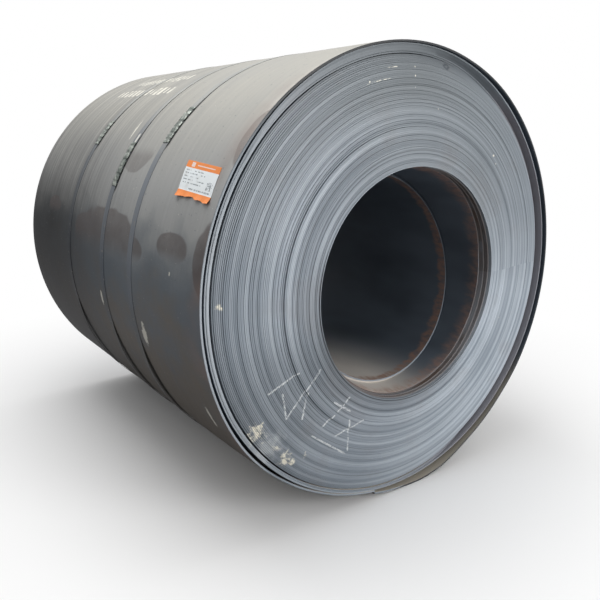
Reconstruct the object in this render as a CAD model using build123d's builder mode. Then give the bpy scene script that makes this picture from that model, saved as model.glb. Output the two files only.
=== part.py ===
from build123d import *
import math
import os

os.makedirs("parts", exist_ok=True)

# Hot rolled steel coil lying on its side. Millimetres, axis along Y, +Z up,
# the end seen in the photo faces -Y, origin under the middle of the coil.

# strip, and the bore wound on its mandrel
strip_width = 1800.0       # width of the strip, so the length of every wrap
strip_thick = 5.5
bore_r = 381.0             # inside of the innermost wrap
head_wrap = 11.0           # thickness of the innermost wraps, set back in the bore
mouth_steps = [(8.0, 44.0), (7.0, 27.0), (7.0, 13.0)]    # next wraps: thickness, set back from the mouth

# tightly wound pack, then the loose wraps round it
pack_build = 363.0         # from the bore mouth to the outside of the pack
inner_gap = 8.0            # open gap round the pack
second_wrap = 16.0         # thickness of the pair of wraps between the gaps
outer_gap = 11.0           # open gap under the outermost wrap
outer_wrap = 7.0           # thickness of the outermost wrap
gap_depth = 150.0          # how far in the gaps run before the wraps touch
edge_break = 2.0           # worn corner of the outermost wrap
tail_angle = 261.5         # where the strip ends on the barrel, 270 is underneath
tail_fade = 42.0           # arc over which the barrel grows back to full radius past the tail
second_set_back = 6.0      # edge of the second wraps behind the outermost edge
pack_set_back = 13.0       # edge of the pack behind the outermost edge

# the wraps have slid along the axis, so the end face bulges towards the bore
bulge = 58.0               # how far the mouth stands out from the pack rim
bulge_power = 0.72         # shape of the bulge, 1 is a plain cone

# groups of wraps from the pack rim inwards: share of the face, offset along the axis
front_groups = [(0.09, 0.0), (0.17, -2.0), (0.16, 1.0), (0.22, 3.0), (0.20, -1.5), (0.16, 1.0)]
rear_groups = [(0.20, 0.0), (0.28, -2.0), (0.28, 2.0), (0.24, -1.5)]

# innermost wraps: their edge slants, furthest in near the top of the bore
head_set_back = 133.0      # mean set back behind the pack rim
head_slant = 67.0          # how much more or less it is on opposite sides
head_turn = 15.0           # how far the deepest point lies from the top towards +X
rear_mouth_set_back = 12.0

# straps, as distances of their middle behind the rim, and their seals
strap_width = 38.0
strap_thick = 1.2
strap_names = ["strap_front", "strap_middle", "strap_rear"]
strap_back = [533.0, 810.0, 1213.0]
seal_names = ["seal_front", "seal_middle", "seal_rear"]
seal_arc = [(132.0, 143.2), (143.6, 156.2), (136.1, 144.6)]    # degrees, 180 is the -X side
seal_width = 44.0
seal_thick = 2.6
crimp_count = 5
crimp_depth = 4.0
crimp_share = 0.45         # part of each crimp's pitch that is pressed in

# label stuck on the barrel near the rim
label_back = (53.0, 279.0)
label_arc = (147.8, 156.0)
label_thick = 0.8

# dependent values
head_out_r = bore_r + head_wrap
mouth_r = head_out_r + sum(thickness for thickness, back in mouth_steps)
pack_r = mouth_r + pack_build
second_in_r = pack_r + inner_gap
second_out_r = second_in_r + second_wrap
outer_in_r = second_out_r + outer_gap
barrel_r = outer_in_r + outer_wrap
strap_out_r = barrel_r + strap_thick
seal_out_r = strap_out_r + seal_thick
axis_z = strap_out_r
coil_axis = Axis((0, 0, axis_z), (0, 1, 0))
front_y = -strip_width / 2 + (bulge - 2 * pack_set_back) / 2     # puts the origin at mid length


def stepped_face(groups, rim_y):
    """Corners of an end face from the pack rim in to the mouth, one cone per group."""
    corners = []
    r = pack_r
    for share, offset in groups:
        inner_r = max(r - share * pack_build, mouth_r)
        for edge_r in (r, inner_r):
            out = bulge * ((pack_r - edge_r) / pack_build) ** bulge_power
            corners.append((edge_r, rim_y - out + offset))
        r = inner_r
    return corners


def cross_plane(y):
    """Plane across the coil at y, local x to the right and local y up, normal to -Y."""
    return Plane(origin=(0, y, axis_z), x_dir=(1, 0, 0), z_dir=(0, -1, 0))


# half section of the coil: radius, place along the axis
pack_front_y = front_y + pack_set_back
front_face = stepped_face(front_groups, pack_front_y)
rear_face = stepped_face(rear_groups, pack_front_y + strip_width)
mouth_y = front_face[-1][1]
section = [
    (barrel_r, front_y + edge_break),
    (barrel_r - edge_break, front_y),
    (outer_in_r, front_y),
    (outer_in_r, front_y + gap_depth),
    (second_out_r, front_y + gap_depth),
    (second_out_r, front_y + second_set_back),
    (second_in_r, front_y + second_set_back),
    (second_in_r, front_y + gap_depth),
    (pack_r, front_y + gap_depth),
] + front_face
step_r = mouth_r
for thickness, back in reversed(mouth_steps):
    section += [(step_r, mouth_y + back), (step_r - thickness, mouth_y + back)]
    step_r -= thickness
head_y = pack_front_y + head_set_back
rear_y = front_y + strip_width
rear_mouth_y = rear_face[-1][1] - rear_mouth_set_back
section += [
    (head_out_r, head_y - head_slant),
    (bore_r, head_y - head_slant),
    (bore_r, rear_mouth_y),
    (mouth_r, rear_mouth_y),
] + rear_face[::-1]
section += [
    (pack_r, rear_y - gap_depth),
    (second_in_r, rear_y - gap_depth),
    (second_in_r, rear_y + second_set_back),
    (second_out_r, rear_y + second_set_back),
    (second_out_r, rear_y - gap_depth),
    (outer_in_r, rear_y - gap_depth),
    (outer_in_r, rear_y),
    (barrel_r - edge_break, rear_y),
    (barrel_r, rear_y - edge_break),
]

# room in front of the innermost wraps, whose edge slants across the bore
with BuildPart() as head_cut:
    with BuildSketch(cross_plane(head_y + head_slant)):
        Circle(head_out_r)
    extrude(amount=2 * head_slant)
    with BuildSketch(Plane.YZ.offset(-head_out_r)):
        with BuildLine():
            Polyline(
                (head_y - head_slant, axis_z - head_out_r),
                (head_y + head_slant, axis_z - head_out_r),
                (head_y + head_slant, axis_z + head_out_r),
                close=True,
            )
        make_face()
    extrude(amount=2 * head_out_r, mode=Mode.SUBTRACT)

# room beyond the end of the strip, where the barrel is one strip thickness smaller
tail_points = []
for share in (0.0, 0.5, 1.0):
    angle = math.radians(tail_angle - share * tail_fade)
    r = barrel_r - strip_thick * (1 - share)
    tail_points.append((r * math.cos(angle), r * math.sin(angle)))
tail_top = (barrel_r * math.cos(math.radians(tail_angle)), barrel_r * math.sin(math.radians(tail_angle)))
with BuildPart() as tail_cut:
    with BuildSketch(cross_plane(front_y + strip_width)):
        with BuildLine():
            ThreePointArc(*tail_points)
            CenterArc((0, 0), barrel_r, tail_angle - tail_fade, tail_fade)
            Line(tail_points[0], tail_top)
        make_face()
    extrude(amount=strip_width)

# the coil: one turned solid with the bore and the groups of wraps on its ends
with BuildPart() as coil:
    with BuildSketch(Plane.XY.offset(axis_z)):
        with BuildLine():
            Polyline(*section, close=True)
        make_face()
    revolve(axis=coil_axis)
    add(head_cut.part.rotate(coil_axis, head_turn), mode=Mode.SUBTRACT)
    add(tail_cut.part, mode=Mode.SUBTRACT)
coil.part.label = "coil"
export_step(coil.part, "parts/coil.step")

for index, back in enumerate(strap_back):
    middle_y = front_y + back

    # flat steel strap right round the coil
    with BuildPart() as strap:
        with BuildSketch(cross_plane(middle_y + strap_width / 2)):
            Circle(strap_out_r)
            Circle(barrel_r, mode=Mode.SUBTRACT)
        extrude(amount=strap_width)
    strap.part.label = strap_names[index]
    export_step(strap.part, f"parts/{strap_names[index]}.step")

    # crimped seal over the strap joint, pinched in from both edges
    start, end = seal_arc[index]
    arc = end - start
    pitch = arc / crimp_count
    with BuildPart() as seal:
        with BuildSketch(cross_plane(middle_y + seal_width / 2)):
            with BuildLine():
                inside = CenterArc((0, 0), strap_out_r, start, arc)
                outside = CenterArc((0, 0), seal_out_r, start, arc)
                Line(inside @ 0, outside @ 0)
                Line(inside @ 1, outside @ 1)
            make_face()
        extrude(amount=seal_width)
        for side_y in (middle_y + seal_width / 2, middle_y - seal_width / 2 + crimp_depth):
            with BuildSketch(cross_plane(side_y)):
                with PolarLocations(seal_out_r, crimp_count, start + pitch / 2, arc):
                    Rectangle(4 * seal_thick, math.radians(pitch) * seal_out_r * crimp_share)
            extrude(amount=crimp_depth, mode=Mode.SUBTRACT)
    seal.part.label = seal_names[index]
    export_step(seal.part, f"parts/{seal_names[index]}.step")

# paper label stuck on the barrel
with BuildPart() as label:
    with BuildSketch(cross_plane(front_y + label_back[1])):
        with BuildLine():
            inside = CenterArc((0, 0), barrel_r, label_arc[0], label_arc[1] - label_arc[0])
            outside = CenterArc((0, 0), barrel_r + label_thick, label_arc[0], label_arc[1] - label_arc[0])
            Line(inside @ 0, outside @ 0)
            Line(inside @ 1, outside @ 1)
        make_face()
    extrude(amount=label_back[1] - label_back[0])
label.part.label = "label"
export_step(label.part, "parts/label.step")
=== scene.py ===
import bmesh
import bpy
import math
import numpy as np
from mathutils import Matrix, Vector


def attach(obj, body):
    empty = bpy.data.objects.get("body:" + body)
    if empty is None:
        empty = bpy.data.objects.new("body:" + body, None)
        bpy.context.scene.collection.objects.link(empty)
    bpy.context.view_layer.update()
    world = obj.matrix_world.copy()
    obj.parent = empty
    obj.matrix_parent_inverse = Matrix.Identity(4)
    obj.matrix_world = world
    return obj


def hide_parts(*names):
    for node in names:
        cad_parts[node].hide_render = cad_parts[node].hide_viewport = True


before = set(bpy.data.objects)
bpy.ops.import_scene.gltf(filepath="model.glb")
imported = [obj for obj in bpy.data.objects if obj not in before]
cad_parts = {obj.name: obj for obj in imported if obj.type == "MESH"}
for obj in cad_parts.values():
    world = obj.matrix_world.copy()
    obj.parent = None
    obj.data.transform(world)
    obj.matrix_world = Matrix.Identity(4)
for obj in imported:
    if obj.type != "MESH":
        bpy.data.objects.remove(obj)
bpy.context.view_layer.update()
print("frame loaded:", sorted(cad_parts))

mm = 0.001
rng = np.random.default_rng(39)


def gridMesh(name, x, y, z, closeAlong=True, closeRound=True):
    # points of a grid, one row per profile point and one column per step round, joined into quads
    rows, cols = x.shape
    points = np.stack([x, y, z], -1).reshape(-1, 3) * mm
    i = np.arange(rows if closeAlong else rows - 1)[:, None]
    j = np.arange(cols if closeRound else cols - 1)[None, :]
    nextRow, nextCol = (i + 1) % rows, (j + 1) % cols
    quads = np.stack([i * cols + j, i * cols + nextCol, nextRow * cols + nextCol, nextRow * cols + j], -1)
    mesh = bpy.data.meshes.new(name)
    mesh.from_pydata(points, [], quads.reshape(-1, 4))
    mesh.polygons.foreach_set("use_smooth", np.full(len(mesh.polygons), True))
    mesh.update()
    piece = bpy.data.objects.new(name, mesh)
    bpy.context.scene.collection.objects.link(piece)
    return piece


def closeShell(piece, sharpAngle, openEnds=False):
    # fills open ends, turns the faces outwards and marks the edges sharper than the angle in degrees
    shell = bmesh.new()
    shell.from_mesh(piece.data)
    if openEnds:
        bmesh.ops.holes_fill(shell, edges=[edge for edge in shell.edges if edge.is_boundary], sides=0)
    bmesh.ops.recalc_face_normals(shell, faces=shell.faces)
    shell.to_mesh(piece.data)
    shell.free()
    piece.data.set_sharp_from_angle(angle=math.radians(sharpAngle))


# the coil as part.py makes it, in millimetres, turned about an axis along Y
coil = dict(
    stripWidth=1800.0, stripThick=5.5, boreR=381.0, headR=392.0, packR=777.0, mouthR=414.0,
    secondInR=785.0, secondOutR=801.0, outerInR=812.0, barrelR=819.0, axisZ=820.2,
    frontY=-884.0, gapDepth=150.0, secondBack=6.0, packBack=13.0,
    bulge=58.0, bulgePower=0.72, tailAngle=261.5, tailFade=42.0,
    headBack=133.0, headSlant=67.0, headTurn=15.0, headEdge=4.9, rearMouthBack=12.0,
    mouthSteps=[(8.0, 44.0), (7.0, 27.0), (7.0, 13.0)], stepsBack=52.0,
    frontGroups=[(0.09, 0.0), (0.17, -2.0), (0.16, 1.0), (0.22, 3.0), (0.20, -1.5), (0.16, 1.0)],
    rearGroups=[(0.20, 0.0), (0.28, -2.0), (0.28, 2.0), (0.24, -1.5)],
    notchAngle=84.0, angleSteps=184,
    # relief of the single wraps: rounded corners, grooves and how unevenly the edges stand
    corner=0.9, stepCorner=0.8, looseCorner=0.7, groove=0.7, looseGroove=1.6, jitter=0.9, fineJitter=0.12,
    looseJitter=0.5, looseReach=300.0,
    # the pack's outermost wraps follow the set back second wraps: from this radius, by this much at most
    followR=741.0, follow=12.0,
)

# the loose outer wraps by angle from the end of the strip once round: how much more the outermost is drawn in
# near the rim, how far it flares out there, how far the second wraps are drawn in as a whole and on their
# inside, and what share of their set back they have
looseShape = dict(
    drawnAt=[261.4, 566, 574, 582, 590, 602, 614, 622], drawn=[0, 0, 1, 5, 10, 15, 16.5, 16.5],
    flareAt=[261.4, 266, 271, 280, 287, 298, 317, 327, 360, 375, 415, 430, 455, 622],
    flare=[-13, -8, -3, 11, 14, 2, 1, 7, 8, 8, 6, 1, 0, 0],
    secondAt=[261.4, 285, 330, 400, 420, 440, 470, 505, 566, 580, 600, 622],
    second=[10, 9, 0, -1, -5, -7, -7, 0, 0, 4, 9, 10],
    innerAt=[261.4, 290, 310, 400, 420, 440, 470, 490, 510, 622], inner=[0, 2, 6, 6, 10, 12, 12, 5, 0, 0],
    setBackAt=[261.4, 285, 300, 420, 455, 622], setBack=[0, 0.2, 1, 1, 0, 0],
    # the inside of the second wraps takes this share of their shift; they also stand off more on one side
    insideShare=0.6, setBackBy=27.0, sideways=2.0, sidewaysAt=135.0,
    # how much of the mouth's steps is left, by degrees before the notch where they start
    stepsAt=[0, 0.5, 75, 120, 175, 250, 359.5, 360], steps=[0.0, 0.12, 1.0, 0.9, 0.62, 0.45, 0.0, 0.0],
)


def byAngle(theta, key):
    return np.interp(theta, looseShape[key + "At"], looseShape[key])[None, :]


def drop(theta):
    # how far the barrel sits in just past the end of the strip
    share = (coil["tailAngle"] - theta) / coil["tailFade"]
    return np.where((share >= 0) & (share <= 1), coil["stripThick"] * (1 - share), 0.0)[None, :]


def faceRows(groups, rimY, sign):
    # the pack's end face, three rows a wrap from the mouth outwards: groove, inner corner, outer corner; a
    # wrap stands at the rim less the bulge times a power of its share of the build inwards, plus its group's
    # offset
    build = coil["packR"] - coil["mouthR"]
    rows = []
    run, runOffset, runDeep = 0, 0.0, 0.0
    edges = np.cumsum([0.0] + [share for share, offset in groups])
    for k in range(int(round(build / coil["stripThick"]))):
        inner = coil["mouthR"] + k * coil["stripThick"]
        inward = (coil["packR"] - inner - coil["stripThick"] / 2) / build
        group = min(np.searchsorted(edges, inward, side="right") - 1, len(groups) - 1)
        y = rimY - coil["bulge"] * inward ** coil["bulgePower"] + groups[group][1]
        if run == 0:
            # a few neighbouring wraps lie level, then comes a deeper groove
            run, runOffset, runDeep = rng.integers(2, 6), rng.normal(0, coil["jitter"]), rng.uniform(1.0, 3.0)
        run -= 1
        # the outermost wraps lie more level than the rest
        calm = np.interp(inward, [0.0, 0.12, 0.3], [0.3, 0.5, 1.0])
        y += calm * runOffset + rng.normal(0, coil["fineJitter"])
        wave = (rng.uniform(0.1, 0.4), rng.integers(1, 3), rng.uniform(0, 2 * np.pi))
        deep = calm * coil["groove"] * (runDeep if run == 0 else rng.uniform(0.08, 0.2))
        rows.append((inner, y + sign * deep, wave))
        rows.append((inner + coil["corner"], y, wave))
        rows.append((inner + coil["stripThick"] - coil["corner"], y, wave))
    return rows


def looseRows(edgeY, sign, count=3):
    # edges of the second wraps, which lie together: two corners each and a groove between
    rows = []
    thick = (coil["secondOutR"] - coil["secondInR"]) / count
    for k in range(count):
        y = edgeY + rng.normal(0, coil["looseJitter"])
        wave = (rng.uniform(0.5, 1.2), rng.integers(1, 4), rng.uniform(0, 2 * np.pi))
        inner = coil["secondInR"] + k * thick
        if k:
            rows.append((inner, y + sign * coil["looseGroove"], wave))
        rows.append((inner + (coil["looseCorner"] if k else 0.0), y, wave))
        rows.append((inner + thick - (coil["looseCorner"] if k < count - 1 else 0.0), y, wave))
    return rows


def buildCoil():
    # one closed profile of radius against place along the axis, carried round: every row of it is bent by
    # formulas of the angle
    c = coil
    still = (0.0, 1, 0.0)
    edgeWave = (1.2, 2, 0.8)
    front, rear = c["frontY"], c["frontY"] + c["stripWidth"]
    frontRim, rearRim = front + c["packBack"], rear + c["packBack"]
    frontGap, rearGap = front + c["gapDepth"], rear - c["gapDepth"]
    headY = frontRim + c["headBack"]
    rows = []
    parts = []

    def put(part, points, slant=0.0, shift=0.0, sink=0.0, thin=0.0, back=0.0):
        # a point is radius, place along the axis and maybe a wave of size, count and phase; the rest says how
        # the row bends: its slant along the axis, its shares of the second wraps' shift, of the sinking in
        # past the end of the strip and of the thinning of the mouth's steps, and its set back on the right
        for radius, y, *wave in points:
            rows.append((radius, y, *(wave[0] if wave else still), slant, shift, sink, thin, back))
            parts.append(part)

    # innermost wraps: slanting edge, then the wall out to the mouth's steps
    bore, head = c["boreR"], c["headR"]
    put("edge", [(bore, headY + 0.8), (bore + 0.8, headY), (bore + c["headEdge"], headY)],
        slant=c["headSlant"])
    put("wall", [(bore + c["stripThick"], headY + 3.0), (head - 0.6, headY + 4.0), (head, headY + 5.0)],
        slant=c["headSlant"])
    face = faceRows(c["frontGroups"], frontRim, 1)
    mouthY = face[1][1]
    put("wall", [(head, mouthY + c["stepsBack"])], thin=0.8)
    r = head
    for thick, back in c["mouthSteps"]:
        wave = (1.5, 1, rng.uniform(0, 6))
        y = mouthY + back
        put("step", [(r, y + 1, wave), (r + c["stepCorner"], y, wave), (r + thick - c["stepCorner"], y, wave),
                     (r + thick, y + 1, wave)], thin=1.0)
        r += thick
    put("face", face[1:])
    put("face", [(c["packR"], frontRim + 1.0), (c["packR"], frontRim + 40)], back=c["follow"])
    put("gap", [(c["packR"], frontGap)])
    insideShare = looseShape["insideShare"]
    put("gap", [(c["secondInR"], frontGap)], shift=insideShare)
    second = looseRows(front + c["secondBack"], 1)
    put("edge", second[:5], shift=insideShare, back=looseShape["setBackBy"])
    put("edge", second[5:], shift=1.0)
    put("gap", [(c["secondOutR"], frontGap)], shift=1.0)
    # the inside of the outermost wrap sinks a little less than the barrel, so the wrap keeps its thickness
    put("gap", [(c["outerInR"], frontGap)], sink=0.93)
    put("edge", [(c["outerInR"], front + 0.4, edgeWave), (c["outerInR"] + 0.5, front, edgeWave)], sink=0.94)
    barrel = c["barrelR"]
    put("edge", [(barrel - 1.4, front, edgeWave), (barrel - 0.4, front + 0.6, edgeWave)], sink=1.0)
    put("barrel", [(barrel, y) for y in np.linspace(front + 2, rear - 2, 30)], sink=1.0)
    # rear end
    put("edge", [(barrel - 0.4, rear - 0.6, edgeWave), (barrel - 1.4, rear, edgeWave)], sink=1.0)
    put("edge", [(c["outerInR"] + 0.5, rear, edgeWave), (c["outerInR"], rear - 0.4, edgeWave)])
    put("gap", [(c["outerInR"], rearGap), (c["secondOutR"], rearGap)])
    put("edge", looseRows(rear + c["secondBack"], -1)[::-1])
    put("gap", [(c["secondInR"], rearGap), (c["packR"], rearGap)])
    face = faceRows(c["rearGroups"], rearRim, -1)
    put("face", [(c["packR"], rearRim - 1.0)])
    put("face", face[::-1])
    innerY = face[0][1] - c["rearMouthBack"]
    put("edge", [(c["mouthR"], innerY), (c["mouthR"] - 10, innerY - 1), (c["mouthR"] - 11, innerY + 1),
                 (bore + 11, innerY + 1), (bore + 10, innerY - 1), (bore, innerY)])
    put("bore", [(bore, y) for y in np.linspace(innerY - 80, headY + 160, 6)])
    put("bore", [(bore, headY + 30)], slant=c["headSlant"])

    r, y, size, count, phase, slant, shift, sink, thin, back = np.array(rows, float).T[:, :, None]
    # columns start at the end of the strip and stop just short of it, so the step there stays sharp
    theta = c["tailAngle"] + np.linspace(0, 360 - 0.12, c["angleSteps"])
    turn = np.radians(theta)[None, :]
    # 1 at the front rim, 0 from the reach of the looseness on
    atRim = np.clip(1 - (y - front) / c["looseReach"], 0, 1) ** 1.5
    loose = (sink > 0) * (byAngle(theta, "flare") * atRim ** 2 - byAngle(theta, "drawn") * atRim)
    radius = r + loose - sink * drop(theta - 360)
    # the second wraps move as a whole, and their inside further, up against the pack
    radius = radius - ((atRim > 0) & (shift == insideShare)) * byAngle(theta, "inner")
    second = byAngle(theta, "second")
    toSide = looseShape["sideways"] * np.cos(turn - math.radians(looseShape["sidewaysAt"]))
    radius = radius - (atRim > 0) * shift * second + toSide * shift * (1 - second / 10)
    # the steps of the mouth thin out to nothing over the top of the bore, and start again at a notch there
    left = byAngle((c["notchAngle"] - theta) % 360, "steps")
    radius = radius + thin * (c["mouthR"] - r) * (1 - left)
    along = y + size * np.sin(count * turn + phase) + back * byAngle(theta, "setBack")
    follow = np.clip((r - c["followR"]) / (c["packR"] - c["followR"]), 0, 1) ** 1.5 * (r < c["packR"] - 0.1)
    along = along + (atRim > 0.1) * c["follow"] * follow * byAngle(theta, "setBack")
    along = along - thin * (1 - left) * np.clip(y - mouthY - 2, 0, 60) * 0.6
    along = along + slant * (r / head) * np.sin(turn + math.radians(c["headTurn"]))
    piece = gridMesh("coilTurns", radius * np.cos(turn), along, radius * np.sin(turn) + c["axisZ"])
    closeShell(piece, 28)
    # the material of each ring of quads: 0 outer surface, 1 end faces, 2 bore and gaps
    inside = {"bore", "wall", "gap"}
    slots = [2 if inside & {a, b} else 0 if a == b == "barrel" else 1
             for a, b in zip(parts, parts[1:] + parts[:1])]
    piece.data.polygons.foreach_set("material_index", np.repeat(slots, c["angleSteps"]).astype(np.int32))
    return piece


straps = dict(
    names=["strap_front", "strap_middle", "strap_rear"], width=38.0, thick=1.2, back=[533.0, 810.0, 1213.0],
    drift=[7.0, 10.0, 20.0], driftAngle=80.0, steps=240, ripple=0.35,
    # under the left side each strap hangs loose between these angles, this far off the coil
    looseAt=[193.0, 203.0, 211.0, 225.0], loose=7.0,
    # painted shadow: the slit beside each strap is painted dark on the barrel
    # the slit shows over the top (middle angle, degrees either side at full strength and where it ends), is
    # this wide in metres there, and wider by so much beside a seal and low down
    slitTop=(90.0, 46.0, 58.0), slitWidth=0.0048, slitAtSeal=0.012, slitLoose=0.016,
)


def strapY(index, turn):
    # middle of the strap: a little nearer the rim at the top of the coil, further back low down
    middle = coil["frontY"] + straps["back"][index]
    return middle - straps["drift"][index] * np.cos(turn - math.radians(straps["driftAngle"]))


def buildStrap(index):
    # section carried round the coil: flat underside, slightly crowned top with rounded corners
    turn = np.radians(np.linspace(0, 360, straps["steps"], endpoint=False))[None, :]
    half = straps["width"] / 2
    across = np.array([-half, -half + 0.4, -half / 2, 0, half / 2, half - 0.4, half, half, -half])[:, None]
    up = np.array([0.8, 1.2, 1.3, 1.35, 1.3, 1.2, 0.8, 0.0, 0.0])[:, None]
    lift = straps["ripple"] * np.abs(np.sin(7 * turn + index)) * (up > 0)
    lift = lift + straps["loose"] * np.interp(np.degrees(turn), straps["looseAt"], [0, 1, 1, 0])
    radius = coil["barrelR"] + up + lift
    piece = gridMesh(f"steelStrap{index + 1}", radius * np.cos(turn), strapY(index, turn) + across,
                     radius * np.sin(turn) + coil["axisZ"])
    closeShell(piece, 40)
    return piece


seals = dict(
    names=["seal_front", "seal_middle", "seal_rear"], width=44.0, thick=2.6, crimps=6, crimpDepth=4.5,
    proud=1.7, bent=1.2, buckle=0.9, rolled=1.4, arcs=[(132.0, 143.2), (143.6, 156.2), (136.1, 144.6)],
)


def buildSeal(index):
    start, end = seals["arcs"][index]
    t = np.linspace(0, 1, 90)[None, :]
    turn = np.radians(start + (end - start) * t)
    # how far each place is pinched in: a smooth pulse per crimp
    pinch = np.clip(np.cos(2 * np.pi * (t * seals["crimps"] - 0.5)) * 1.6 - 0.25, 0, 1)
    half = seals["width"] / 2 - seals["crimpDepth"] * pinch
    share = np.linspace(-1, 1, 11)[:, None]
    # it stands proud between the crimps, is bent up at each crimp's edges, and is buckled along its middle
    swell = seals["proud"] * (1 - pinch) * (1 - 0.5 * share ** 2)
    swell = swell + seals["bent"] * pinch * np.abs(share) ** 3
    buckle = seals["buckle"] * np.sin(5 * share + 37 * t + index) * np.cos(19 * t + 2 * index)
    buckle = buckle * (1 - share ** 2)
    foot = coil["barrelR"] + straps["thick"]
    top = foot + seals["thick"] * 0.8 + swell + buckle - seals["rolled"] * np.abs(share) ** 8
    bottom = foot - straps["thick"] * 0.5 + 0 * top
    edge = strapY(index, turn) + share * half
    radius = np.concatenate([top, bottom[::-1]])
    piece = gridMesh(f"crimpedSeal{index + 1}", radius * np.cos(turn), np.concatenate([edge, edge[::-1]]),
                     radius * np.sin(turn) + coil["axisZ"], closeRound=False)
    closeShell(piece, 40, openEnds=True)
    return piece


# corners of the label as distance behind the pack rim and angle: upper and lower edge, rear then rim side
label = dict(upper=[(276.0, 147.25), (47.0, 148.45)], lower=[(257.0, 155.5), (35.6, 156.31)], thick=0.5,
             clear=0.3, curl=9.0, ripple=0.35)


def buildLabel():
    # a sheet between its corners, bent round the barrel: u runs from the rear to the rim side, v downwards
    u = np.linspace(0, 1, 90)[:, None]
    v = np.linspace(0, 1, 50)[None, :]
    # the lower edge is torn: its reach varies along the label
    ragged = 1 + 0.03 * np.sin(7 * u + 1) + 0.012 * np.sin(23 * u)
    w = v * (ragged + 0.03 * np.clip(np.sin(9 * u - 4.4), 0.5, 1) ** 3)
    (upperY, upperTurn), (lowerY, lowerTurn) = [
        [rear * (1 - u) + rim * u for rear, rim in zip(*label[side])] for side in ("upper", "lower")]
    along = coil["frontY"] + coil["packBack"] + upperY * (1 - w) + lowerY * w
    turn = np.radians(upperTurn * (1 - w) + lowerTurn * w)
    # the lowest part stands off the steel and curls, most at the ends and where it is torn
    curl = label["curl"] * np.clip((w - 0.8) / 0.2, 0, 2) ** 1.6 * (0.45 + 0.4 * np.sin(11 * u + 0.5) ** 2)
    curl = curl + label["ripple"] * np.abs(np.sin(9 * u + 5 * v))
    outer = coil["barrelR"] + label["thick"] + label["clear"] + curl
    sides = [np.stack([radius * np.cos(turn), along, radius * np.sin(turn) + coil["axisZ"]], -1)
             for radius in (outer, outer - label["thick"])]
    both = np.concatenate([sides[0], sides[1][:, ::-1]], axis=1)
    piece = gridMesh("paperLabel", *np.moveaxis(both, -1, 0), closeAlong=False)
    closeShell(piece, 50, openEnds=True)
    uv = np.stack([np.broadcast_to(u, w.shape), w], -1)
    uv = np.concatenate([uv, uv[:, ::-1]], axis=1).reshape(-1, 2)
    corners = np.zeros(len(piece.data.loops), dtype=np.int32)
    piece.data.loops.foreach_get("vertex_index", corners)
    piece.data.uv_layers.new(name="sheet").data.foreach_set("uv", uv[corners].astype(np.float32).ravel())
    return piece


class Wire:
    # a value in a shader and the node tree it is in: arithmetic with it adds Math nodes to that tree
    def __init__(self, tree, socket):
        self.tree = tree
        self.socket = socket

    def __add__(self, other):
        return calc("ADD", self, other)

    def __sub__(self, other):
        return calc("SUBTRACT", self, other)

    def __rsub__(self, other):
        return calc("SUBTRACT", other, self)

    def __mul__(self, other):
        return calc("MULTIPLY", self, other)

    def __truediv__(self, other):
        return calc("DIVIDE", self, other)

    def __abs__(self):
        return calc("ABSOLUTE", self)

    __radd__ = __add__
    __rmul__ = __mul__


def feed(socket, value):
    # a socket takes a wire or a plain value
    if isinstance(value, Wire):
        value.tree.links.new(value.socket, socket)
    else:
        socket.default_value = value


def addNode(tree, kind, feeds=None, **settings):
    # a node with its settings, and what feeds its sockets by name or number
    made = tree.nodes.new(kind)
    for key, value in settings.items():
        setattr(made, key, value)
    for key, value in (feeds or {}).items():
        feed(made.inputs[key], value)
    return made


def treeOf(*values):
    return next(value.tree for value in values if isinstance(value, Wire))


def calc(operation, *values, clamp=False):
    tree = treeOf(*values)
    made = addNode(tree, "ShaderNodeMath", dict(enumerate(values)), operation=operation, use_clamp=clamp)
    return Wire(tree, made.outputs[0])


def anyOf(masks):
    out = masks[0]
    for extra in masks[1:]:
        out = calc("MAXIMUM", out, extra)
    return out


def spread(value, low, high, toLow=0.0, toHigh=1.0):
    # maps low..high smoothly to toLow..toHigh
    feeds = {"Value": value, "From Min": low, "From Max": high, "To Min": toLow, "To Max": toHigh}
    made = addNode(value.tree, "ShaderNodeMapRange", interpolation_type="SMOOTHSTEP")
    for key, given in feeds.items():
        feed(made.inputs[key], given)
    return Wire(value.tree, made.outputs[0])


def near(value, middle, full, gone):
    # 1 within full of the middle, 0 where it is gone away from it
    return 1.0 - spread(abs(value - middle), full, gone)


def inBand(value, start, startFull, endFull, end):
    # 1 between the two full values, running out to 0 at the start and the end
    return spread(value, start, startFull) * (1.0 - spread(value, endFull, end))


def paint(color, over, share, mode="MIX"):
    # lays a second colour over the first by a share
    tree = treeOf(color, over, share)
    made = addNode(tree, "ShaderNodeMix", data_type="RGBA", blend_type=mode)
    for key, given in ((0, share), (6, color), (7, over)):
        feed(made.inputs[key], given)
    return Wire(tree, made.outputs[2])


def curveAt(value, points):
    # a smooth curve through the points, all between 0 and 1
    made = addNode(value.tree, "ShaderNodeFloatCurve", {"Value": value})
    curve = made.mapping.curves[0]
    curve.points[0].location = points[0]
    curve.points[1].location = points[-1]
    for at, level in points[1:-1]:
        curve.points.new(at, level)
    made.mapping.update()
    return Wire(value.tree, made.outputs[0])


def joinXYZ(x, y, z):
    tree = treeOf(x, y, z)
    return Wire(tree, addNode(tree, "ShaderNodeCombineXYZ", {0: x, 1: y, 2: z}).outputs[0])


def splitXYZ(vector):
    made = addNode(vector.tree, "ShaderNodeSeparateXYZ", {0: vector})
    return [Wire(vector.tree, out) for out in made.outputs]


def objectPlace(tree):
    return Wire(tree, addNode(tree, "ShaderNodeTexCoord").outputs["Object"])


def noiseAt(vector, scale, detail=2.0, roughness=0.5):
    made = addNode(vector.tree, "ShaderNodeTexNoise", {
        "Vector": vector, "Scale": scale, "Detail": detail, "Roughness": roughness})
    return Wire(vector.tree, made.outputs[0])


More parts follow.
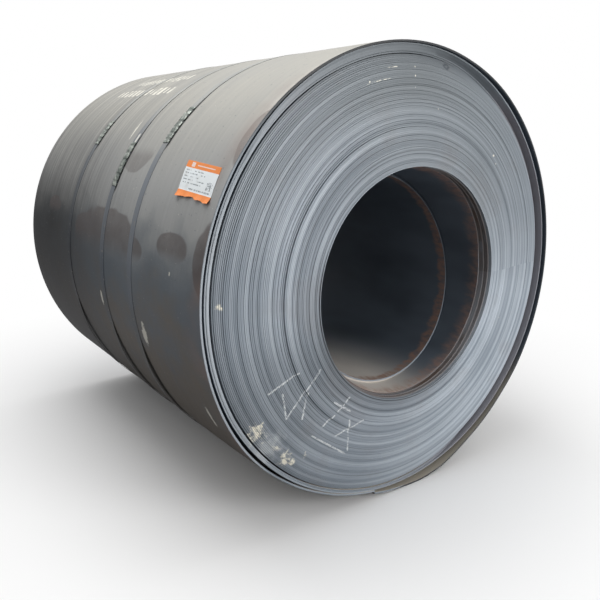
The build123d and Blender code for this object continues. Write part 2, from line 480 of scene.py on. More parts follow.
def randomAt(value, dimensions="1D"):
    # a random number from 0 to 1 for each value that comes in
    made = addNode(value.tree, "ShaderNodeTexWhiteNoise", noise_dimensions=dimensions)
    feed(made.inputs["W" if dimensions == "1D" else "Vector"], value)
    return Wire(value.tree, made.outputs["Value"])


def newGroup(name, inputs, outputs=("Mask",)):
    # an effect that materials share: named inputs with their values, None for a vector, and named outputs
    group = bpy.data.node_groups.new(name, "ShaderNodeTree")
    for key, value in inputs.items():
        kind = "NodeSocketVector" if value is None else "NodeSocketFloat"
        made = group.interface.new_socket(key, in_out="INPUT", socket_type=kind)
        if value is not None:
            made.default_value = value
    for key in outputs:
        kind = "NodeSocketVector" if key == "Round" else "NodeSocketFloat"
        group.interface.new_socket(key, in_out="OUTPUT", socket_type=kind)
    given = {out.name: Wire(group, out) for out in addNode(group, "NodeGroupInput").outputs}
    return group, given, addNode(group, "NodeGroupOutput").inputs


def useGroup(tree, group, **feeds):
    made = addNode(tree, "ShaderNodeGroup", feeds, node_tree=group)
    return {out.name: Wire(tree, out) for out in made.outputs}


def screenColor(red, green, blue):
    # a colour as seen on screen, 0 to 255, made linear
    out = [((c / 255 + 0.055) / 1.055) ** 2.4 if c > 10 else c / 255 / 12.92 for c in (red, green, blue)]
    return (*out, 1.0)


def newMaterial(name, metallic=0.0):
    made = bpy.data.materials.new(name)
    made.use_nodes = True
    tree = made.node_tree
    tree.nodes.clear()
    shader = addNode(tree, "ShaderNodeBsdfPrincipled", {"Metallic": metallic})
    target = addNode(tree, "ShaderNodeOutputMaterial")
    tree.links.new(shader.outputs[0], target.inputs[0])
    return made, tree, shader


def dress(shader, color, roughness, height, strength, distance):
    # colour, roughness and relief into the shader
    feed(shader.inputs["Base Color"], color)
    feed(shader.inputs["Roughness"], roughness)
    relief = addNode(height.tree, "ShaderNodeBump", {
        "Strength": strength, "Distance": distance, "Height": height})
    feed(shader.inputs["Normal"], Wire(height.tree, relief.outputs[0]))


def makeTurnCoords():
    # place on the coil: angle in degrees seen from the front (0 right, 90 top), radius and distance behind
    # the rim in metres, and a vector that runs round without a seam
    group, given, sent = newGroup("turnCoords", {}, ("Angle", "Radius", "Behind", "Round"))
    x, y, height = splitXYZ(objectPlace(group))
    z = height - coil["axisZ"] * mm
    radius = calc("SQRT", x * x + z * z)
    safe = calc("MAXIMUM", radius, 0.01)
    behind = y - coil["frontY"] * mm
    feed(sent["Angle"], calc("ARCTAN2", z * -1.0, x * -1.0) * (180 / math.pi) + 180.0)
    feed(sent["Radius"], radius)
    feed(sent["Behind"], behind)
    feed(sent["Round"], joinXYZ(x / safe, z / safe, behind))
    return group


def makePatchMask():
    # a soft oval in angle and distance behind the rim, its edge broken by the noise that is fed in
    group, given, sent = newGroup("patchMask", dict(
        Angle=0.0, Behind=0.0, Ragged=0.5, MidAngle=180.0, MidBehind=0.5, HalfAngle=5.0, HalfBehind=0.1,
        Roughen=0.8, Softness=0.15, Fade=0.0))
    u = (given["Angle"] - given["MidAngle"]) / given["HalfAngle"]
    v = (given["Behind"] - given["MidBehind"]) / given["HalfBehind"]
    away = calc("SQRT", u * u + v * v) + (given["Ragged"] - 0.5) * given["Roughen"]
    within = 1.0 - spread(away, 1.0 - given["Softness"], 1.0)
    # Fade 1 lets the end with the larger angle run out softly, -1 the other end
    feed(sent["Mask"], within * (1.0 - spread(u * given["Fade"], 0.0, 0.9)))
    return group


def makeSpecks():
    # small scattered marks: bright where a fine noise passes its threshold
    group, given, sent = newGroup("specks", dict(Vector=None, Scale=90.0, Threshold=0.7))
    fine = noiseAt(given["Vector"], given["Scale"], 3.0, 0.6)
    feed(sent["Mask"], spread(fine, given["Threshold"], given["Threshold"] + 0.04))
    return group


def makeStroke():
    # a chalk line between two points of the end face: 1 near the line, broken up by a gritty noise
    group, given, sent = newGroup("chalkStroke", dict(
        X=0.0, Z=0.0, Grit=0.5, FromX=0.0, FromZ=0.0, ToX=0.1, ToZ=0.1, Width=0.004))
    dx = given["ToX"] - given["FromX"]
    dz = given["ToZ"] - given["FromZ"]
    px = given["X"] - given["FromX"]
    pz = given["Z"] - given["FromZ"]
    along = calc("DIVIDE", px * dx + pz * dz, dx * dx + dz * dz, clamp=True)
    ex = px - along * dx
    ez = pz - along * dz
    edge = given["Width"] * (given["Grit"] * 1.1 + 0.35)
    feed(sent["Mask"], 1.0 - spread(calc("SQRT", ex * ex + ez * ez), edge * 0.5, edge))
    return group


def makeBesideStrap():
    # painted shadow in the slit along a strap's rim side edge, where it stands off the coil
    group, given, sent = newGroup("besideStrap", dict(
        Angle=0.0, Behind=0.0, Middle=0.5, Drift=0.01, SealStart=135.0, SealEnd=145.0))
    angle, start, end = given["Angle"], given["SealStart"], given["SealEnd"]
    atSeal = inBand(angle, start - 9.0, start, end, end + 3.0)
    loose = spread(angle, straps["looseAt"][0] - 2.0, straps["looseAt"][1])
    breadth = atSeal * straps["slitAtSeal"] + straps["slitWidth"] + loose * straps["slitLoose"]
    shown = anyOf([near(angle, *straps["slitTop"]), atSeal, loose])
    turned = (angle - straps["driftAngle"]) * (math.pi / 180)
    middle = given["Middle"] - given["Drift"] * calc("COSINE", turned)
    ahead = middle - straps["width"] / 2 * mm - given["Behind"]
    feed(sent["Mask"], inBand(ahead, -0.001, 0.0, breadth * 0.6, breadth) * shown)
    return group


def makeSprayedRow():
    # a row of plain sprayed dashes along the axis between two distances, its angle drifting from end to end
    group, given, sent = newGroup("sprayedRow", dict(
        Angle=0.0, Behind=0.0, Grit=0.5, Start=0.9, End=1.4, StartAngle=114.0, EndAngle=116.0, HalfHeight=1.4,
        Dashes=12.0))
    along = (given["Behind"] - given["Start"]) / (given["End"] - given["Start"])
    middle = given["StartAngle"] + along * (given["EndAngle"] - given["StartAngle"])
    up = abs(given["Angle"] - middle)
    count = along * given["Dashes"]
    # each dash has its own height and breadth
    own = randomAt(calc("FLOOR", count))
    tall = given["HalfHeight"] * (own * 0.38 + 0.62)
    broad = own * 0.2 + 0.17
    inAngle = 1.0 - spread(up, tall * 0.88, tall)
    inDash = 1.0 - spread(abs(calc("FRACT", count) - 0.5), broad - 0.05, broad)
    inRow = inBand(along, -0.002, 0.002, 0.998, 1.002)
    feed(sent["Mask"], inAngle * inDash * (inRow * spread(given["Grit"], 0.34, 0.5)))
    return group


turnCoords = makeTurnCoords()
patchMask = makePatchMask()
specks = makeSpecks()
chalkStroke = makeStroke()
besideStrap = makeBesideStrap()
sprayedRow = makeSprayedRow()
print("shared effects made")


def patchesAt(along, across, ragged, spots, roughen, softness):
    # the strongest of several ovals: middle and half size on both axes, then which end fades and the strength
    masks = []
    for midAlong, midAcross, halfAlong, halfAcross, *rest in spots:
        fade, strength = rest or (0.0, 1.0)
        mask = useGroup(along.tree, patchMask, Angle=along, Behind=across, Ragged=ragged, MidAngle=midAlong,
                        MidBehind=midAcross, HalfAngle=halfAlong, HalfBehind=halfAcross, Roughen=roughen,
                        Softness=softness, Fade=fade)["Mask"]
        masks.append(mask * strength)
    return anyOf(masks)


def specksAt(vector, scale, threshold):
    return useGroup(vector.tree, specks, Vector=vector, Scale=scale, Threshold=threshold)["Mask"]


def scaleBase(o, finish):
    # colour of the outer surface before marks: cloudy scale, rolling lines round the coil, painted shade and
    # sheen
    cloud = noiseAt(o["Round"], 3.2, 4.0, 0.55)
    # rolling lines run along the strip, so they are rings at one distance behind the rim
    ring = noiseAt(joinXYZ(0.0, o["Angle"] * 0.012, o["Behind"] * 60.0), 1.0, 4.0, 0.7)
    lines = (ring - 0.5) * (spread(o["Behind"], 0.7, 1.75) * 0.75 + 0.35)
    upper = paint(finish["middle"], finish["light"], spread((cloud - 0.5) * 0.55 + 0.5 + lines, 0.25, 0.75))
    # degrees round from the light side, either way, made uneven by the clouds
    side = 180.0 - abs(180.0 - abs(o["Angle"] - 80.0)) + (cloud - 0.5) * 30.0
    # a painted sheen: a cooler tint coming in between 48 and 80 degrees round from the light side
    upper = paint(upper, finish["paintedSheenTint"], spread(side, 48.0, 80.0))
    # painted shade: darker and bluish below the middle height, browner further down
    dirt = side + (noiseAt(o["Round"], 5.5, 3.0, 0.6) - 0.5) * 50.0
    low = paint(finish["dark"], finish["brown"], spread(dirt, 92.0, 124.0))
    color = paint(upper, low, curveAt(calc("DIVIDE", side, 180.0, clamp=True), finish["paintedShadeFall"]))
    # painted shade: the far end is darker, most at mid height, and streaked by the rolling lines
    paintedFarShade = spread(o["Behind"], 0.45, 1.5) * spread(side, 35.0, 105.0, 0.12, 0.89)
    color = paint(color, finish["paintedFarShade"], paintedFarShade)
    streak = (ring - 0.5) * spread(o["Behind"], 0.5, 1.5, 0.35, 2.3) + 1.0
    return paint(color, joinXYZ(streak, streak, streak), 1.0, "MULTIPLY"), cloud, ring


# steel as it came off the mill: scale colours, patches of rust-brown scale, scuffs and sprayed bars
barrelFinish = dict(
    light=screenColor(180, 177, 167), middle=screenColor(163, 162, 157), dark=screenColor(90, 100, 109),
    # the cool tint on the next line is a painted sheen
    paintedSheenTint=screenColor(173, 173, 171), brown=screenColor(106, 98, 88), patch=screenColor(92, 84, 82),
    # the slit colour is painted shadow beside the straps
    rim=screenColor(132, 112, 104), white=screenColor(232, 229, 216), strapShadow=screenColor(26, 26, 27),
    # the near black tone on the next line is painted shade at the far end
    paintedFarShade=screenColor(27, 26, 24), roughness=0.40,
    # painted shade: share of the dark tone by the angle away from the light side, both 0 to 1
    paintedShadeFall=[(0.0, 0.0), (0.2, 0.03), (0.3, 0.08), (0.39, 0.14), (0.44, 0.16), (0.462, 0.34), (0.485, 0.6),
          (0.51, 0.8), (0.56, 0.96), (0.65, 1.0), (1.0, 1.0)],
    # middle angle, middle distance behind the rim in metres, half angle, half distance, then which end fades
    # and the strength
    scalePatches=[(168.8, 0.79, 7.2, 0.34, 1.0, 0.75), (170.5, 0.52, 3.6, 0.10, 1.0, 0.75),
                  (167.4, 0.21, 3.8, 0.10, 1.0, 0.8), (148.0, 0.68, 4.4, 0.12, -1.0, 0.5),
                  (140.5, -0.005, 7.5, 0.058, 0.0, 0.62), (168.5, -0.01, 8.5, 0.07, 0.0, 0.9),
                  (165.5, 1.46, 3.0, 0.10, 1.0, 0.7)],
    scuffs=[(139.0, 0.880, 3.6, 0.008), (191.2, 0.459, 3.8, 0.020), (206.0, 0.115, 3.4, 0.012),
            (187.5, 0.854, 2.4, 0.010), (172.8, 0.209, 0.5, 0.004)],
    # start and end distance behind the rim, angle at the start and at the end, half height in degrees
    sprayed=[(0.93, 1.46, 114.4, 115.4, 2.1), (0.90, 1.50, 122.6, 122.4, 2.2)], dashes=13.0,
)


def makeBarrelMaterial():
    finish = barrelFinish
    made, tree, shader = newMaterial("millScale", 0.25)
    o = useGroup(tree, turnCoords)
    angle, behind = o["Angle"], o["Behind"]
    color, cloud, ring = scaleBase(o, finish)
    ragged = noiseAt(o["Round"], 6.0, 2.0, 0.4)
    patches = patchesAt(angle, behind, ragged, finish["scalePatches"], 0.9, 0.12)
    mottle = spread(noiseAt(o["Round"], 14.0, 3.0, 0.6), 0.2, 0.8, 0.7, 1.0)
    color = paint(color, finish["patch"], patches * mottle)
    # brownish bloom within a hand's breadth of the rim
    bloom = (1.0 - spread(behind, 0.0, 0.14)) * (spread(ragged, 0.42, 0.66) * spread(angle, 108.0, 140.0))
    color = paint(color, finish["rim"], bloom * 0.55)
    color = paint(color, finish["dark"], specksAt(o["Round"], 70.0, 0.66) * 0.5)
    color = paint(color, finish["white"], specksAt(o["Round"], 120.0, 0.7) * 0.55)
    # painted shadow in the slit beside each strap
    strapShadows = anyOf([
        useGroup(tree, besideStrap, Angle=angle, Behind=behind, Middle=back * mm, Drift=drift * mm,
                 SealStart=start, SealEnd=end)["Mask"]
        for back, drift, (start, end) in zip(straps["back"], straps["drift"], seals["arcs"])])
    color = paint(color, finish["strapShadow"], strapShadows)
    gritty = noiseAt(o["Round"], 26.0, 4.0, 0.7)
    color = paint(color, finish["white"], patchesAt(angle, behind, gritty, finish["scuffs"], 2.2, 0.3) * 0.8)
    rows = anyOf([
        useGroup(tree, sprayedRow, Angle=angle, Behind=behind, Grit=gritty, Start=start, End=end,
                 StartAngle=first, EndAngle=last, HalfHeight=half, Dashes=finish["dashes"])["Mask"]
        for start, end, first, last, half in finish["sprayed"]])
    color = paint(color, finish["white"], rows * 0.95)
    roughness = finish["roughness"] + (ring - 0.5) * 0.2 + patches * 0.15
    dress(shader, color, roughness, ring * 0.5 + gritty * 0.3, 0.25, 0.002)
    return made


# sheared edges of the wraps: a tone for each wrap, chalk strokes, cream splashes and nicks
edgeFinish = dict(
    light=screenColor(168, 176, 184), dark=screenColor(120, 129, 138), slate=screenColor(60, 66, 72),
    upperDarkTone=screenColor(106, 112, 115), purple=screenColor(118, 113, 118), shadow=screenColor(30, 32, 35),
    bright=screenColor(196, 202, 206), rust=screenColor(98, 82, 72), cream=screenColor(226, 221, 206),
    chalk=screenColor(214, 217, 218), roughness=0.42,
    # where round the face each tone lies: middle angle, degrees either side at full strength and where it
    # ends
    upperDarkAt=(76.0, 12.0, 80.0), outwardAt=(115.0, 25.0, 65.0), leftAt=(160.0, 80.0, 120.0),
    topAt=(92.0, 28.0, 48.0), paleAt=(200.0, 50.0, 105.0), leftLightAt=(192.0, 15.0, 45.0),
    litAt=(190.0, 38.0, 62.0), lowLeftAt=(235.0, 60.0, 85.0),
    # rings by radius in metres: where each starts, is full, begins to end and has ended
    packRing=(0.4135, 0.4145, 0.7765, 0.7775), rimRing=(0.735, 0.768, 0.775, 0.79),
    secondRing=(0.772, 0.781, 0.797, 0.8), stepRing=(0.3925, 0.394, 0.412, 0.4145),
    mouthLine=(0.4195, 0.0012, 0.0026),
    # splashes on the face: x and z from the coil's axis in metres, half size in metres
    splashes=[(-0.755, 0.030, 0.011), (-0.632, -0.406, 0.029), (-0.560, -0.473, 0.013),
              (-0.524, -0.528, 0.024), (-0.497, -0.546, 0.014), (-0.450, -0.528, 0.014)],
    haze=[(-0.590, -0.470, 0.075, 0.075)],
    # painted light and shade on the face by angle over 360, half is unchanged
    byAngle=[(0.0, 0.49), (0.08, 0.42), (0.17, 0.45), (0.25, 0.43), (0.42, 0.43), (0.5, 0.505), (0.58, 0.355),
             (0.67, 0.475), (0.75, 0.5), (0.83, 0.58), (0.92, 0.61), (1.0, 0.49)],
    # small bright nicks, rows of them along a wrap as middle angle, radius, half angle and half breadth
    nicks=[(0.0, 0.736, 0.0035), (-0.001, 0.707, 0.003), (-0.003, 0.671, 0.003), (0.103, 0.603, 0.003),
           (0.41, 0.44, 0.005), (0.425, 0.41, 0.004), (-0.755, 0.2, 0.003), (-0.2, 0.68, 0.003),
           (0.5, -0.2, 0.004)],
    nickRows=[(103.4, 0.704, 4.8, 0.0020), (96.5, 0.737, 3.4, 0.0018)],
    # painted shade of a dent, lighter at its core: x, z, half width, half height
    dentShade=[(0.160, 0.745, 0.0221, 0.0136)], dentCore=[(0.160, 0.745, 0.0119, 0.0068)],
    # strokes: from x, z to x, z in metres from the coil's axis
    strokes=[(-0.595, -0.274, -0.492, -0.221), (-0.545, -0.284, -0.529, -0.376),
             (-0.529, -0.376, -0.411, -0.224), (-0.453, -0.298, -0.469, -0.390),
             (-0.348, -0.355, -0.280, -0.403), (-0.331, -0.393, -0.285, -0.351),
             (-0.386, -0.439, -0.344, -0.406), (-0.428, -0.463, -0.282, -0.573),
             (-0.270, -0.562, -0.278, -0.439), (-0.330, -0.491, -0.217, -0.454)],
    strokeWidth=0.0044,
)


def makeEdgeMaterial():
    finish = edgeFinish
    made, tree, shader = newMaterial("shearedEdges", 0.2)
    o = useGroup(tree, turnCoords)
    angle, radius = o["Angle"], o["Radius"]
    place = objectPlace(tree)
    wraps = (radius - coil["mouthR"] * mm) / (coil["stripThick"] * mm)
    own = randomAt(calc("FLOOR", wraps))
    # slow change over several wraps, drawn out round the coil
    slow = noiseAt(joinXYZ(radius * 60.0, angle * 0.004, 0.0), 1.0, 1.0, 0.45)
    tone = own * 0.06 + slow * 1.1 + (noiseAt(place, 2.6, 2.0, 0.5) - 0.5) * 0.5
    color = paint(finish["dark"], finish["light"], spread(tone, 0.3, 0.9))
    # a few rings stand out as thin dark lines
    thinRing = noiseAt(joinXYZ(radius * 120.0, angle * 0.003, 4.0), 1.0, 1.0, 0.5)
    color = paint(color, finish["slate"], spread(thinRing, 0.62, 0.72) * 0.34)
    # the upper part of the face is darker, most towards the rim
    outward = spread(radius, 0.56, 0.68) * near(angle, *finish["outwardAt"]) * 0.35
    color = paint(color, finish["upperDarkTone"], near(angle, *finish["upperDarkAt"]) * 0.5 + outward)
    # painted light and shade by angle round the face
    level = curveAt(angle / 360.0, finish["byAngle"]) * 2.0
    color = paint(color, joinXYZ(level, level, level), 1.0, "MULTIPLY")
    # painted shade in the groove between two wraps
    grooveShade = spread(abs(calc("FRACT", wraps) - 0.5), 0.34, 0.5) * inBand(radius, *finish["packRing"])
    color = paint(color, finish["slate"], grooveShade * 0.06)
    # the wraps just inside the rim get painted shade on the left and painted light on the right
    rimWraps = inBand(radius, *finish["rimRing"])
    left = near(angle, *finish["leftAt"])
    color = paint(color, finish["slate"], rimWraps * left * 0.28)
    color = paint(color, finish["light"], rimWraps * (1.0 - left) * 0.35)
    # painted shade on the second wraps: grey over the top, purple on the right, where they are set back
    top = near(angle, *finish["topAt"])
    second = inBand(radius, *finish["secondRing"]) * (1.0 - top)
    color = paint(color, finish["slate"], top * spread(radius, 0.779, 0.784) * 0.3)
    color = paint(color, finish["purple"], second * (1.0 - near(angle, *finish["paleAt"])) * 0.8)
    # painted light on the second wraps on the left
    leftLight = near(angle, *finish["leftLightAt"]) * spread(radius, 0.774, 0.778)
    color = paint(color, finish["bright"], leftLight * 0.3)
    # painted shadow: the outermost edge is black except on the left
    outermost = spread(radius, 0.8105, 0.8122) * (1.0 - near(angle, *finish["litAt"]))
    color = paint(color, finish["shadow"], outermost * 0.92)
    # painted shadow in a dark line just outside the mouth on its left and lower side; darker wraps next to it
    lowLeft = near(angle, *finish["lowLeftAt"])
    color = paint(color, finish["shadow"], near(radius, *finish["mouthLine"]) * lowLeft * 0.85)
    color = paint(color, finish["slate"], lowLeft * (1.0 - spread(radius, 0.43, 0.50)) * 0.38)
    color = paint(color, finish["rust"], spread(noiseAt(place, 5.0, 4.0, 0.6), 0.5, 0.7) * 0.14)
    # brown on the stepped wraps of the mouth, between their bright corners
    dull = spread(noiseAt(joinXYZ(radius * 420.0, 0.0, 0.0), 1.0), 0.4, 0.6, 0.35, 0.95)
    color = paint(color, finish["rust"], inBand(radius, *finish["stepRing"]) * dull)
    # chalk, splashes, nicks and the dent's painted shade are on the front face
    x, y, height = splitXYZ(place)
    z = height - coil["axisZ"] * mm
    front = 1.0 - spread(y, -0.6, -0.5)
    grit = noiseAt(place, 90.0, 3.0, 0.7)
    ragged = noiseAt(place, 42.0, 4.0, 0.65)
    strokes = anyOf([
        useGroup(tree, chalkStroke, X=x, Z=z, Grit=grit, FromX=fromX, FromZ=fromZ, ToX=toX, ToZ=toZ,
                 Width=finish["strokeWidth"])["Mask"] for fromX, fromZ, toX, toZ in finish["strokes"]])
    color = paint(color, finish["chalk"], strokes * front * spread(grit, 0.3, 0.6) * 0.85)
    color = paint(color, finish["chalk"], patchesAt(x, z, ragged, finish["haze"], 1.6, 0.95) * front * 0.4)
    spots = [(spotX, spotZ, half, half * 1.2) for spotX, spotZ, half in finish["splashes"] + finish["nicks"]]
    nickRows = patchesAt(angle, radius, 0.5, finish["nickRows"], 0.0, 0.3)
    nickRows = nickRows * spread(grit, 0.47, 0.56, 0.0, 0.8)
    splashes = anyOf([patchesAt(x, z, ragged, spots, 4.0, 0.7), nickRows])
    color = paint(color, finish["cream"], splashes * front * spread(grit, 0.36, 0.52, 0.25, 1.0))
    # painted shade round the dent, lighter at its core
    core = patchesAt(x, z, ragged, finish["dentCore"], 0.8, 0.6)
    dentShade = patchesAt(x, z, ragged, finish["dentShade"], 0.8, 0.4) * (1.0 - core * 0.75)
    color = paint(color, finish["slate"], dentShade * front * 0.8)
    dress(shader, color, own * 0.14 + finish["roughness"], ragged, 0.15, 0.002)
    return made


boreFinish = dict(
    dark=screenColor(74, 83, 93), slate=screenColor(100, 110, 121), dustAndLight=screenColor(214, 207, 198),
    sheen=screenColor(150, 142, 122), rust=screenColor(156, 124, 108), inside=screenColor(176, 170, 158),
    # middle angle, degrees either side at full strength and where it ends
    dustAt=(256.0, 0.0, 46.0), insideAt=(292.0, 24.0, 42.0),
    # middle angle, middle distance behind the rim in metres, half angle, half distance
    sheenAt=[(184.0, 1.0, 16.0, 0.5)],
)


def makeBoreMaterial():
    finish = boreFinish
    made, tree, shader = newMaterial("boreScale", 0.2)
    o = useGroup(tree, turnCoords)
    angle, radius, behind = o["Angle"], o["Radius"], o["Behind"]
    cloud = noiseAt(o["Round"], 2.4, 2.0, 0.5)
    color = paint(finish["dark"], finish["slate"], spread(cloud, 0.2, 0.8))
    # pale dust with painted light along the bottom
    dustAndLight = near(angle, *finish["dustAt"]) * spread(behind, 0.12, 0.75, 1.0, 0.42)
    color = paint(color, finish["dustAndLight"], dustAndLight * spread(cloud, 0.2, 0.8, 0.8, 1.0))
    # a faint warm sheen half way down the left side
    color = paint(color, finish["sheen"], patchesAt(angle, behind, cloud, finish["sheenAt"], 0.4, 0.95) * 0.6)
    # rust in from the slanting edge of the innermost wraps, and in from the mouth
    turned = (angle + coil["headTurn"]) * (math.pi / 180)
    edge = calc("SINE", turned) * (coil["headSlant"] * mm) + (coil["packBack"] + coil["headBack"]) * mm
    innermost = 1.0 - spread(radius, 0.386, 0.388)
    ragged = noiseAt(o["Round"], 9.0, 4.0, 0.6)
    reach = ragged * 0.085 + 0.006
    band = innermost * (1.0 - spread(behind - edge, reach * 0.55, reach))
    shore = (1.0 - innermost) * (1.0 - spread(behind - ragged * 0.09, -0.045, 0.012))
    shore = shore * (1.0 - spread(radius, 0.43, 0.5))
    rust = anyOf([band * 0.9, shore * 0.7]) * spread(noiseAt(o["Round"], 24.0, 3.0, 0.6), 0.3, 0.65, 0.3, 1.0)
    color = paint(color, finish["rust"], rust)
    # painted light on the inside of the outermost wrap, seen where it stands off low down
    inside = near(angle, *finish["insideAt"]) * spread(radius, 0.7, 0.76)
    color = paint(color, finish["inside"], inside * spread(cloud, 0.2, 0.8, 0.7, 1.0))
    dress(shader, color, spread(cloud, 0.2, 0.8, 0.45, 0.65), cloud, 0.2, 0.003)
    return made


strapFinish = dict(
    light=screenColor(176, 176, 170), middle=screenColor(158, 160, 158), dark=screenColor(98, 107, 118),
    # the cool tint on the next line is a painted sheen and the near black tone painted shade at the far end
    paintedSheenTint=screenColor(160, 163, 167), brown=screenColor(108, 107, 104), paintedFarShade=screenColor(27, 27, 26),
    pale=screenColor(150, 146, 138), white=screenColor(232, 230, 220), scuffs=[(142.4, 0.800, 1.7, 0.009)],
    # painted shade: share of the dark tone by the angle away from the light side
    paintedShadeFall=[(0.0, 0.0), (0.26, 0.05), (0.33, 0.35), (0.38, 0.62), (0.45, 0.6), (0.5, 0.72), (0.56, 0.93),
          (0.65, 1.0), (1.0, 1.0)],
)


def makeStrapMaterial():
    finish = strapFinish
    made, tree, shader = newMaterial("bluedStrap", 0.35)
    o = useGroup(tree, turnCoords)
    color, cloud, ring = scaleBase(o, finish)
    color = paint(color, finish["pale"], specksAt(o["Round"], 60.0, 0.62) * 0.5)
    gritty = noiseAt(o["Round"], 26.0, 4.0, 0.7)
    scuffs = patchesAt(o["Angle"], o["Behind"], gritty, finish["scuffs"], 1.6, 0.3)
    color = paint(color, finish["white"], scuffs * 0.9)
    dress(shader, color, spread(cloud, 0.2, 0.8, 0.36, 0.52), cloud, 0.2, 0.001)
    return made


sealFinish = dict(
    dull=screenColor(112, 121, 115), bright=screenColor(184, 190, 182), rust=screenColor(108, 82, 62),
)


def makeSealMaterial():
    finish = sealFinish
    made, tree, shader = newMaterial("zincSeal", 0.75)
    o = useGroup(tree, turnCoords)
    cloud = noiseAt(o["Round"], 30.0, 4.0, 0.6)
    color = paint(finish["dull"], finish["bright"], spread(cloud, 0.35, 0.65))
    color = paint(color, finish["rust"], specksAt(o["Round"], 50.0, 0.64) * 0.6)
    dress(shader, color, spread(cloud, 0.2, 0.8, 0.25, 0.45), cloud, 0.4, 0.002)
    return made


# label print in its own u (rear to rim side) and v (upper to lower edge)
labelPrint = dict(
    orange=screenColor(240, 138, 62), paper=screenColor(234, 240, 242), ink=screenColor(120, 128, 134),
    dirt=screenColor(150, 138, 120), bands=[(0.0, 0.2), (0.84, 1.2)],
    # left, right, top, bottom
    pale=[(0.16, 0.26, 0.035, 0.165), (0.34, 0.86, 0.085, 0.115)], block=(0.78, 0.94, 0.47, 0.70),
    blockCells=(70.0, 36.0), blockShare=0.5,
    # left, right, top, bottom and cells across the whole label, of which some are inked
    lines=[(0.05, 0.20, 0.26, 0.285, 60.0), (0.32, 0.60, 0.26, 0.285, 60.0), (0.05, 0.16, 0.34, 0.37, 60.0),
           (0.20, 0.44, 0.34, 0.37, 70.0), (0.54, 0.66, 0.34, 0.37, 60.0), (0.05, 0.16, 0.43, 0.46, 60.0),
           (0.20, 0.50, 0.43, 0.46, 70.0), (0.05, 0.16, 0.52, 0.55, 60.0), (0.20, 0.38, 0.52, 0.55, 70.0),
           (0.46, 0.68, 0.52, 0.55, 60.0), (0.05, 0.16, 0.61, 0.64, 60.0), (0.20, 0.62, 0.61, 0.64, 70.0),
           (0.30, 0.92, 0.75, 0.79, 110.0)],
    bareShare=0.32,
)


def makeLabelMaterial():
    finish = labelPrint
    made, tree, shader = newMaterial("printedPaper")
    sheet = addNode(tree, "ShaderNodeUVMap", uv_map="sheet")
    u, v, flat = splitXYZ(Wire(tree, sheet.outputs[0]))

    def between(value, low, high):
        return calc("GREATER_THAN", value, low) * calc("LESS_THAN", value, high)

    def inBox(left, right, top, bottom):
        return between(u, left, right) * between(v, top, bottom)

    color = paint(finish["paper"], finish["orange"], anyOf([between(v, *band) for band in finish["bands"]]))
    color = paint(color, finish["paper"], anyOf([inBox(*bar) for bar in finish["pale"]]) * 0.7)
    marks = []
    for left, right, top, bottom, count in finish["lines"]:
        # uneven dashes: a cell of the row is inked when its own random number is high enough
        own = randomAt(joinXYZ(calc("FLOOR", u * count), top, 0.0), "2D")
        marks.append(calc("GREATER_THAN", own, finish["bareShare"]) * inBox(left, right, top, bottom))
    across, down = finish["blockCells"]
    own = randomAt(joinXYZ(calc("FLOOR", u * across), calc("FLOOR", v * down), 0.0), "2D")
    marks.append(calc("GREATER_THAN", own, finish["blockShare"]) * inBox(*finish["block"]))
    color = paint(color, finish["ink"], anyOf(marks) * 0.8)
    dirt = noiseAt(objectPlace(tree), 22.0, 4.0, 0.6)
    color = paint(color, finish["dirt"], spread(dirt, 0.5, 0.75) * 0.22)
    dress(shader, color, 0.5, dirt, 0.2, 0.002)
    return made


turns = buildCoil()
for made in (makeBarrelMaterial(), makeEdgeMaterial(), makeBoreMaterial()):
    turns.data.materials.append(made)
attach(turns, "root")
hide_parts("coil")
print("coil:", len(turns.data.polygons), "faces")

strapMaterial = makeStrapMaterial()
sealMaterial = makeSealMaterial()
for index in range(3):
    strap = buildStrap(index)
    strap.data.materials.append(strapMaterial)
    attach(strap, "root")
    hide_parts(straps["names"][index])
    seal = buildSeal(index)
    seal.data.materials.append(sealMaterial)
    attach(seal, "root")
    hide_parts(seals["names"][index])
print("straps and seals made")

sticker = buildLabel()
sticker.data.materials.append(makeLabelMaterial())
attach(sticker, "root")
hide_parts("label")
print("label made")

# floor, light and camera: the floor is dimmer for everything but the camera, and turns white further out
studio = dict(
    floor=screenColor(240, 240, 240), bounce=screenColor(138, 138, 140), floorHalf=14.0, whiteFrom=1.1,
    whiteAt=2.6, sky=0.95, ground=0.1,
    # place, aim, size and power of each lamp
    lamps=dict(overhead=((-0.7, 0.3, 4.2), (0, 0.1, 0.8), 3.0, 92.0),
               frontSide=((2.0, -5.4, 1.5), (0, -0.9, 0.7), 2.4, 185.0)),
)


def buildFloor():
    half = studio["floorHalf"]
    mesh = bpy.data.meshes.new("floorSheet")
    corners = [(-half, -half, 0), (half, -half, 0), (half, half, 0), (-half, half, 0)]
    mesh.from_pydata(corners, [], [(0, 1, 2, 3)])
    floor = bpy.data.objects.new("floorSheet", mesh)
    bpy.context.scene.collection.objects.link(floor)
    made, tree, shader = newMaterial("paleFloor")
    seen = Wire(tree, addNode(tree, "ShaderNodeLightPath").outputs["Is Camera Ray"])
    feed(shader.inputs["Base Color"], paint(studio["bounce"], studio["floor"], seen))
    shader.inputs["Roughness"].default_value = 0.9
    far = addNode(tree, "ShaderNodeVectorMath", {0: objectPlace(tree)}, operation="LENGTH")
    away = spread(Wire(tree, far.outputs["Value"]), studio["whiteFrom"], studio["whiteAt"])
    mix = addNode(tree, "ShaderNodeMixShader", {0: away * seen})
    tree.links.new(shader.outputs[0], mix.inputs[1])
    tree.links.new(addNode(tree, "ShaderNodeEmission").outputs[0], mix.inputs[2])
    target = next(node for node in tree.nodes if node.bl_idname == "ShaderNodeOutputMaterial")
    tree.links.new(mix.outputs[0], target.inputs[0])
    mesh.materials.append(made)


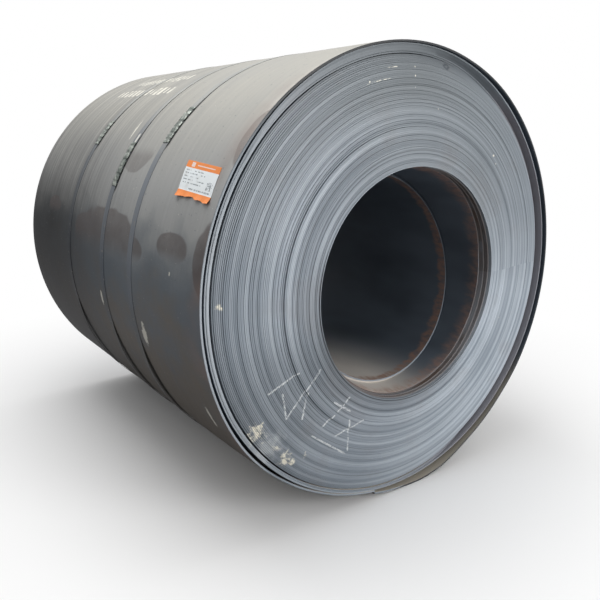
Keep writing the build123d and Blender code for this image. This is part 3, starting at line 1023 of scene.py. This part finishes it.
def buildSky():
    # white to the camera, brighter above than below for everything else
    world = bpy.data.worlds.new("studio")
    bpy.context.scene.world = world
    world.use_nodes = True
    tree = world.node_tree
    tree.nodes.clear()
    seen = Wire(tree, addNode(tree, "ShaderNodeLightPath").outputs["Is Camera Ray"])
    x, y, up = splitXYZ(Wire(tree, addNode(tree, "ShaderNodeTexCoord").outputs["Generated"]))
    strength = spread(up, -0.1, 0.6, studio["ground"], studio["sky"])
    lit = addNode(tree, "ShaderNodeBackground", {"Strength": strength})
    white = addNode(tree, "ShaderNodeBackground", {"Color": (1, 1, 1, 1)})
    mix = addNode(tree, "ShaderNodeMixShader", {0: seen})
    tree.links.new(lit.outputs[0], mix.inputs[1])
    tree.links.new(white.outputs[0], mix.inputs[2])
    tree.links.new(mix.outputs[0], addNode(tree, "ShaderNodeOutputWorld").inputs[0])


def placeLamps():
    for name, (spot, aim, size, power) in studio["lamps"].items():
        lamp = bpy.data.lights.new(name, "AREA")
        lamp.size = size
        lamp.energy = power
        holder = bpy.data.objects.new(name, lamp)
        holder.location = spot
        holder.rotation_euler = (Vector(aim) - Vector(spot)).to_track_quat("-Z", "Y").to_euler()
        bpy.context.scene.collection.objects.link(holder)


# the photograph's place in metres and its direction, as columns right, up and back
photoView = dict(lens=39.678, sensor=36.0, place=(-1.647, -2.5367, 1.3576), right=(0.8133, -0.58184, 0),
                 up=(0.14575, 0.20373, 0.96812), back=(-0.56329, -0.78737, 0.2505))


def placeCamera():
    camera = bpy.data.cameras.new("photoView")
    camera.lens = photoView["lens"]
    camera.sensor_width = photoView["sensor"]
    camera.sensor_fit = "HORIZONTAL"
    holder = bpy.data.objects.new("photoView", camera)
    turn = Matrix([photoView["right"], photoView["up"], photoView["back"]]).transposed().to_4x4()
    holder.matrix_world = Matrix.Translation(photoView["place"]) @ turn
    bpy.context.scene.collection.objects.link(holder)
    bpy.context.scene.camera = holder


buildFloor()
buildSky()
placeLamps()
placeCamera()
bpy.context.scene.view_settings.view_transform = "Standard"
print("stage set")
